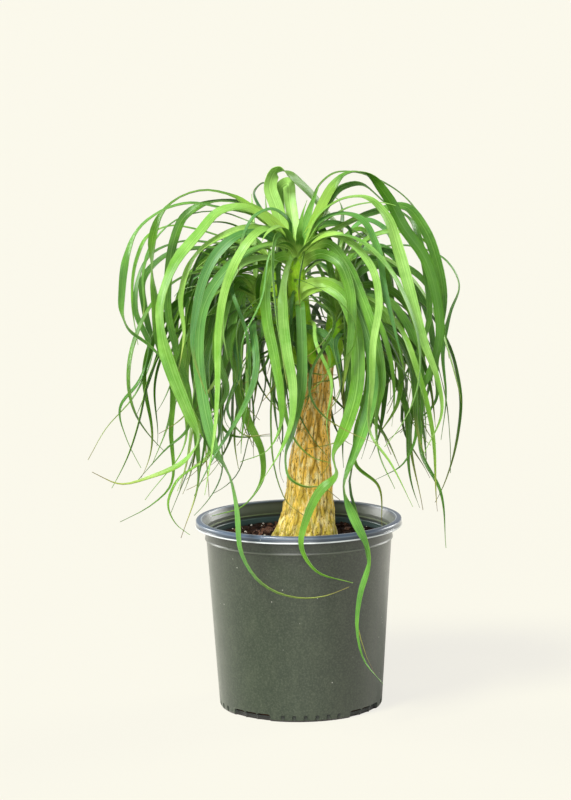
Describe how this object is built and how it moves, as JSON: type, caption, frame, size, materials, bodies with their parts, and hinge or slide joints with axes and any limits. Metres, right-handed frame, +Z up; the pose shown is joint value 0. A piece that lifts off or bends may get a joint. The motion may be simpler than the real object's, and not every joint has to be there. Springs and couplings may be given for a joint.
{
  "type": "potted ponytail palm",
  "caption": "Ponytail palm house plant with arching strap leaves on a corky trunk, standing in a round plastic nursery pot of soil.",
  "frame": {"origin": "centre of the pot's flat underside", "axes": "+Z up along the pot's axis, -Y towards the front of the plant, +X to its right seen from the front"},
  "size_m": [0.4621, 0.3741, 0.6625],
  "materials": {
    "pot_plastic": "dark grey-green moulded polypropylene with a soft sheen and a paler rolled lip",
    "soil": "dark brown potting soil with white perlite and bark chips, fully rough",
    "bark": "golden tan corky bark with brown vertical cracks, rough",
    "leaf": "smooth leathery leaf, mid green with fine lengthwise veins and a satin sheen"
  },
  "bodies": {
    "root": {"pot": "pot_plastic", "soil": "soil", "trunk": "bark", "head_front": "leaf", "head_left": "leaf", "head_back_left": "leaf", "head_back_right": "leaf", "head_right": "leaf"}
  },
  "joints": []
}
